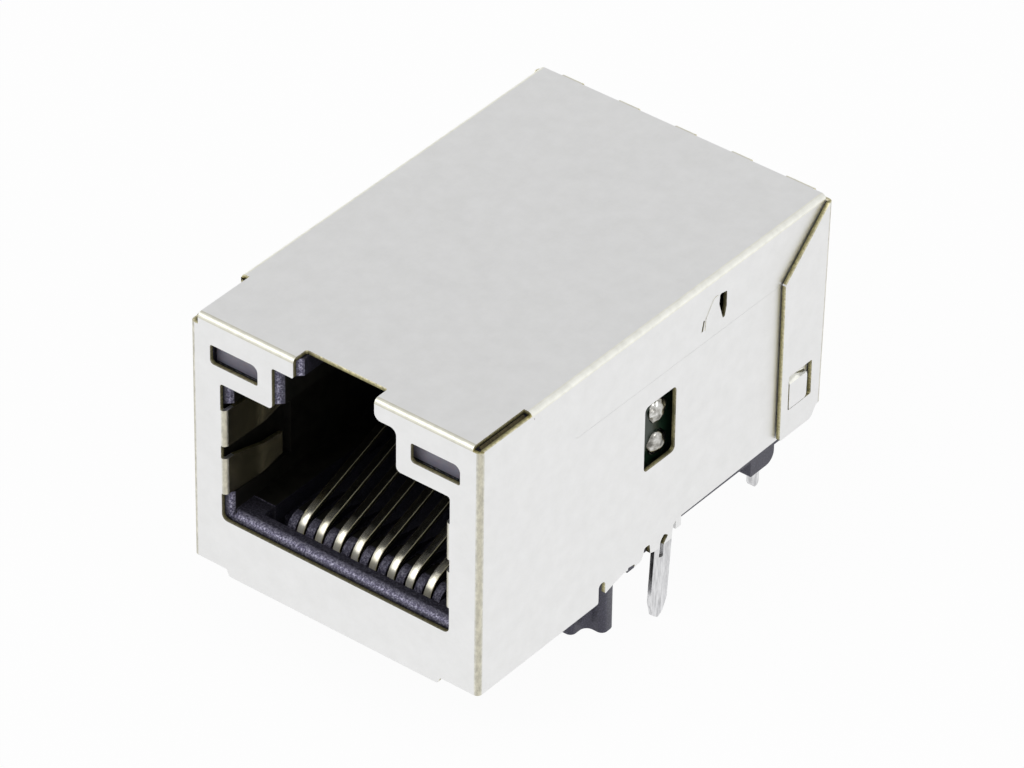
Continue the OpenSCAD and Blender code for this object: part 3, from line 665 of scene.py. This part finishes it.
# Depths from the shield's front face and heights over the board
LIP_DEPTH = 1.6 * MM
COMB_START = 1.9 * MM
SILL_DEPTH = 0.7 * MM  # of the latch channel's flared sides
SILL_HEIGHT = 10 * MM
RIB_DEPTHS = (1.5 * MM, 4 * MM)
RIB_TOP = 3 * MM
UNDERSIDE = 2.4 * MM  # the lip is plain below this height
# where the port's walls are painted dark as painted shade
SHADE_DEPTH = 0.6 * MM
SHADE_HALF_WIDTH = 6.8 * MM
SHADE_HEIGHTS = (2.6 * MM, 12.2 * MM)

# A normal's part along Y
LIP_SLOPE = -0.1  # a face of the lip leans outwards below this
FLAT_FRONT = -0.98  # and is a plain front below this
RIB_SLOPE = -0.05  # a face of the comb's ribs leans outwards below this


def is_painted_lit_mouth(face):
    """Whether a face of the housing or the comb belongs to the coarse flared mouth, which gets
    the finish with painted highlights, glints and shade.
    """
    height = face.calc_center_median().z
    depth = face.calc_center_median().y - FRONT
    normal = face.normal
    if height < UNDERSIDE and depth <= RIB_DEPTHS[0]:
        return False
    lip = (depth < LIP_DEPTH and normal.y > FLAT_FRONT
           and (normal.y < LIP_SLOPE or height < RIB_TOP))
    sill = depth < SILL_DEPTH and normal.z > FACING and height > SILL_HEIGHT
    rib_front = (RIB_DEPTHS[0] < depth < RIB_DEPTHS[1] and normal.y < RIB_SLOPE
                 and height < RIB_TOP)
    return lip or sill or rib_front


def is_port_shade(face):
    """Whether a face of the housing or the comb is one of the port's deep walls, which are
    painted dark as painted shade.
    """
    centre = face.calc_center_median()
    return (centre.y - FRONT > SHADE_DEPTH and abs(centre.x) < SHADE_HALF_WIDTH
            and SHADE_HEIGHTS[0] < centre.z < SHADE_HEIGHTS[1])


def make_moulded_nodes():
    """The black mouldings, the lights and the boards."""
    for node, (name, slot, finishes, bevel) in MOULDED.items():
        form = merged_copy(node)
        if node == "front_housing":
            # the mouth's finish with painted light ends where the comb begins
            cut_through(form, (0, FRONT + COMB_START, 0), (0, 1, 0))
        if node in AROUND_THE_PORT:
            for face in form.faces:
                finish = FLARE if is_painted_lit_mouth(face) else PORT_SHADE if is_port_shade(face) else PLASTIC
                face.material_index = finishes.index(finish)
        finished(form, name, node, finishes, bevel=bevel * MM)


# ---- Contacts and pins -------------------------------------------------------

CONTACT_FINISHES = (GOLD, SHADED_GOLD_EDGE, GOLD_ARRIS)
CONTACT_CORNER = math.radians(60)
CONTACT_BEVEL = 0.028 * MM
CONTACT_SIDE = 0.2  # a normal's part along X, above which a face is a spring's side
CONTACT_FLANK = 0.98  # and above which it is the flat middle of that side
WIRE_BEVEL = 0.03 * MM


def make_contact(number):
    """A gilt spring; its punch rounded the +X corners and left the others torn; those are
    painted dark as painted shade.
    """
    node = f"contact_{number}"
    form = merged_copy(node)
    corners = [edge for edge in form.edges if edge.calc_face_angle(0) > CONTACT_CORNER]
    bmesh.ops.bevel(form, geom=corners, offset=CONTACT_BEVEL, segments=2, profile=0.5,
                    affect="EDGES", material=-1)
    for face in form.faces:
        sideways = face.normal.x
        if CONTACT_SIDE < sideways <= CONTACT_FLANK:
            finish = GOLD_ARRIS
        else:
            finish = SHADED_GOLD_EDGE if abs(sideways) > CONTACT_SIDE else GOLD
        face.material_index = CONTACT_FINISHES.index(finish)
    finished(form, f"spring_{node}", node, CONTACT_FINISHES, sharp=ROUND_TURN,
             even=True)


def make_wire(node, name):
    """A tinned pin or lead."""
    finished(merged_copy(node), name, node, (TIN,), bevel=WIRE_BEVEL)


def make_contacts_and_pins():
    """The eight springs and their pins, then the lights' leads."""
    for number in range(1, 9):
        make_contact(number)
        make_wire(f"signal_pin_{number}", f"signal_pin_wire_{number}")
    for side in ("left", "right"):
        for lead in ("outer", "inner"):
            node = f"{side}_light_{lead}_lead"
            make_wire(node, f"{node}_wire")


# ---- Solder joints -----------------------------------------------------------

FILLET_HEIGHT = 0.30  # mm, as the other sizes of a fillet
FILLET_STEEPNESS = 1.5
FILLET_RADIUS = 0.62
FILLET_NARROWING = 0.10  # of the radius, for each mm of height
FILLET_SUNK = 0.02  # into the board
LUMP_SCALE = (1.7, 1.9, 1.9)
LUMP_STEP = 9.1  # between one joint's lumps and the next one's
LUMP_SHARES = (0.16, 0.25)  # of the radius and of the height


def joint_centres(node):
    """The middle of each of a node's separate solder joints, on the face of its board."""
    form = merged_copy(node)
    waiting = set(form.verts)
    centres = []
    while waiting:
        island = {waiting.pop()}
        border = list(island)
        while border:
            for link in border.pop().link_edges:
                for vert in link.verts:
                    if vert not in island:
                        island.add(vert)
                        border.append(vert)
        waiting -= island
        xs, ys, zs = zip(*(vert.co for vert in island))
        outward = 1 if xs[0] > 0 else -1
        foot = min(xs) if outward > 0 else max(xs)
        middle = Vector((foot, (min(ys) + max(ys)) / 2, (min(zs) + max(zs)) / 2))
        centres.append((middle, outward))
    form.free()
    # a set's order differs from run to run, so the joints are put in order here
    return sorted(centres, key=lambda found: (found[0].z, found[0].y))


def make_solder_joints(side):
    """Lumpy fillets of solder that climb the end of each wire."""
    node = f"{side}_solder_joints"
    form = bmesh.new()
    for number, (centre, outward) in enumerate(joint_centres(node)):
        ball = bmesh.ops.create_icosphere(form, subdivisions=4, radius=1.0)["verts"]
        for vert in ball:
            x, y, z = vert.co
            crown = FILLET_HEIGHT * abs(x) ** FILLET_STEEPNESS
            lump = noise.noise(Vector((LUMP_SCALE[0] * x + LUMP_STEP * number,
                                       LUMP_SCALE[1] * y, LUMP_SCALE[2] * z)))
            wide = (FILLET_RADIUS - FILLET_NARROWING * crown) * (1 + LUMP_SHARES[0] * lump)
            tall = -FILLET_SUNK
            if x > 0:
                tall = (crown + FILLET_SUNK) * (1 + LUMP_SHARES[1] * lump)
            vert.co = centre + MM * Vector((outward * tall, y * wide, z * wide))
    bmesh.ops.recalc_face_normals(form, faces=form.faces)
    finished(form, f"{side}_solder_fillets", node, (SOLDER,), sharp=ROUND_TURN)


# ---- Hidden pieces -----------------------------------------------------------

HIDDEN = {
    "transformer_core": FERRITE, "choke_core": FERRITE,
    "transformer_winding": WIRE, "choke_winding": WIRE,
    "front_resistor": CHIP, "rear_resistor": CHIP,
}


def paint(node, material):
    """Gives a CAD node its material and leaves its mesh as it is."""
    slots = NODES[node].data.materials
    slots.clear()
    slots.append(material)


def paint_hidden_nodes():
    """The magnetics, resistors and capacitor, which stay as the CAD made them."""
    for kind, material in HIDDEN.items():
        for side in ("left", "right"):
            paint(f"{side}_{kind}", material)
    paint("shield_capacitor", CAPACITOR)


# ---- Stage -------------------------------------------------------------------

FLOOR_SIZE = 4  # metres
FLOOR_GAP = 0.05 * MM  # under the pins
FLOOR_GREY = (0.82, 0.82, 0.82, 1)
FLOOR_WHITENING = 0.96  # how far the floor's own glow hides the shadow on it
ROOM_FROM_LEVEL_UP = [(0.0, 0.90), (0.35, 0.80), (1.0, 0.72)]
ROOM_FILL = (0.55, 0.55, 0.56)
LAMPS = {  # name: place, size and power
    "front_lamp": ((-0.14, -0.28, 0.26), 0.28, 0.45),
    "right_lamp": ((0.34, -0.02, 0.20), 0.16, 0.25),
}
LAMP_AIM = Vector((0, 0, 0.006))


def seen_white(tree):
    """1 for rays that see the stage as plain white: camera, mirror and see-through rays."""
    path = tree.nodes.new("ShaderNodeLightPath")
    best = path.outputs["Is Camera Ray"]
    for name in ("Is Glossy Ray", "Is Transmission Ray"):
        either = tree.nodes.new("ShaderNodeMath")
        either.operation = "MAXIMUM"
        tree.links.new(best, either.inputs[0])
        tree.links.new(path.outputs[name], either.inputs[1])
        best = either.outputs[0]
    return best


def make_floor():
    """White floor just below the pins, which keeps a trace of the jack's shadow."""
    bpy.ops.mesh.primitive_plane_add(size=FLOOR_SIZE, location=(0, 0, shield_low.z - FLOOR_GAP))
    floor = bpy.context.object
    floor.name = "floor"
    material, tree, shader = new_material("floor_white")
    shader.inputs["Base Color"].default_value = FLOOR_GREY
    shader.inputs["Roughness"].default_value = 0.8
    glow = tree.nodes.new("ShaderNodeEmission")
    glow.inputs["Color"].default_value = (1, 1, 1, 1)
    mix = tree.nodes.new("ShaderNodeMixShader")
    share = tree.nodes.new("ShaderNodeMath")
    share.operation = "MULTIPLY"
    share.inputs[1].default_value = FLOOR_WHITENING
    tree.links.new(seen_white(tree), share.inputs[0])
    tree.links.new(share.outputs[0], mix.inputs[0])
    tree.links.new(shader.outputs[0], mix.inputs[1])
    tree.links.new(glow.outputs[0], mix.inputs[2])
    tree.links.new(mix.outputs[0], tree.nodes["Material Output"].inputs["Surface"])
    floor.data.materials.append(material)


def make_world():
    """Soft white room: mirrors see it bright, while less of its light fills dark corners."""
    world = bpy.data.worlds.new("soft_room")
    bpy.context.scene.world = world
    world.use_nodes = True
    tree = world.node_tree
    background = tree.nodes["Background"]
    path = tree.nodes.new("ShaderNodeLightPath")
    place = tree.nodes.new("ShaderNodeTexCoord")
    split = tree.nodes.new("ShaderNodeSeparateXYZ")
    tree.links.new(place.outputs["Generated"], split.inputs[0])
    room = ramp(tree, split.outputs["Z"], ROOM_FROM_LEVEL_UP)
    fill = mix_colour(tree, path.outputs["Is Diffuse Ray"], room, ROOM_FILL)
    colour = mix_colour(tree, path.outputs["Is Camera Ray"], fill, (1.0, 1.0, 1.0))
    tree.links.new(colour, background.inputs["Color"])
    background.inputs["Strength"].default_value = 1.0


def make_lamps():
    """Two soft square lamps that face the jack from the front and from its right."""
    for name, (place, size, power) in LAMPS.items():
        lamp = bpy.data.lights.new(name, "AREA")
        lamp.size = size
        lamp.energy = power
        holder = bpy.data.objects.new(name, lamp)
        bpy.context.scene.collection.objects.link(holder)
        holder.location = place
        direction = LAMP_AIM - Vector(place)
        holder.rotation_euler = direction.to_track_quat("-Z", "Y").to_euler()


# The camera stands to the front right and looks down at a point in the jack's middle.
VIEW_AZIMUTH = math.radians(37.99)
VIEW_ELEVATION = math.radians(36.41)
VIEW_ROLL = math.radians(0.83)
VIEW_DISTANCE = 310.2 * MM
VIEW_OFFSET = (0.15 * MM, 0.71 * MM)  # to the left and down
VIEW_CENTRE = Vector((0, FRONT + 12.5 * MM, 6.7 * MM))
VIEW_LENS = 248.1  # in the camera's own mm, as the sensor
VIEW_SENSOR = 36
VIEW_CLIP = (0.01, 10)  # metres


def make_camera():
    """A long lens with a slight roll."""
    back = Vector((math.sin(VIEW_AZIMUTH) * math.cos(VIEW_ELEVATION),
                   -math.cos(VIEW_AZIMUTH) * math.cos(VIEW_ELEVATION),
                   math.sin(VIEW_ELEVATION)))
    right = Vector((math.cos(VIEW_AZIMUTH), math.sin(VIEW_AZIMUTH), 0))
    up = back.cross(right)
    right_rolled = right * math.cos(VIEW_ROLL) + up * math.sin(VIEW_ROLL)
    up_rolled = up * math.cos(VIEW_ROLL) - right * math.sin(VIEW_ROLL)
    camera = bpy.data.objects.new("camera", bpy.data.cameras.new("camera"))
    bpy.context.scene.collection.objects.link(camera)
    place = (VIEW_CENTRE + back * VIEW_DISTANCE - right_rolled * VIEW_OFFSET[0]
             - up_rolled * VIEW_OFFSET[1])
    turn = Matrix((right_rolled, up_rolled, back)).transposed().to_4x4()
    camera.matrix_world = Matrix.Translation(place) @ turn
    camera.data.lens = VIEW_LENS
    camera.data.sensor_width = VIEW_SENSOR
    camera.data.clip_start, camera.data.clip_end = VIEW_CLIP
    bpy.context.scene.camera = camera


make_camera()
make_shield()
make_moulded_nodes()
make_contacts_and_pins()
make_solder_joints("left")
make_solder_joints("right")
paint_hidden_nodes()
make_floor()
make_world()
make_lamps()
bpy.context.scene.view_settings.view_transform = "Standard"

bpy.context.view_layer.update()
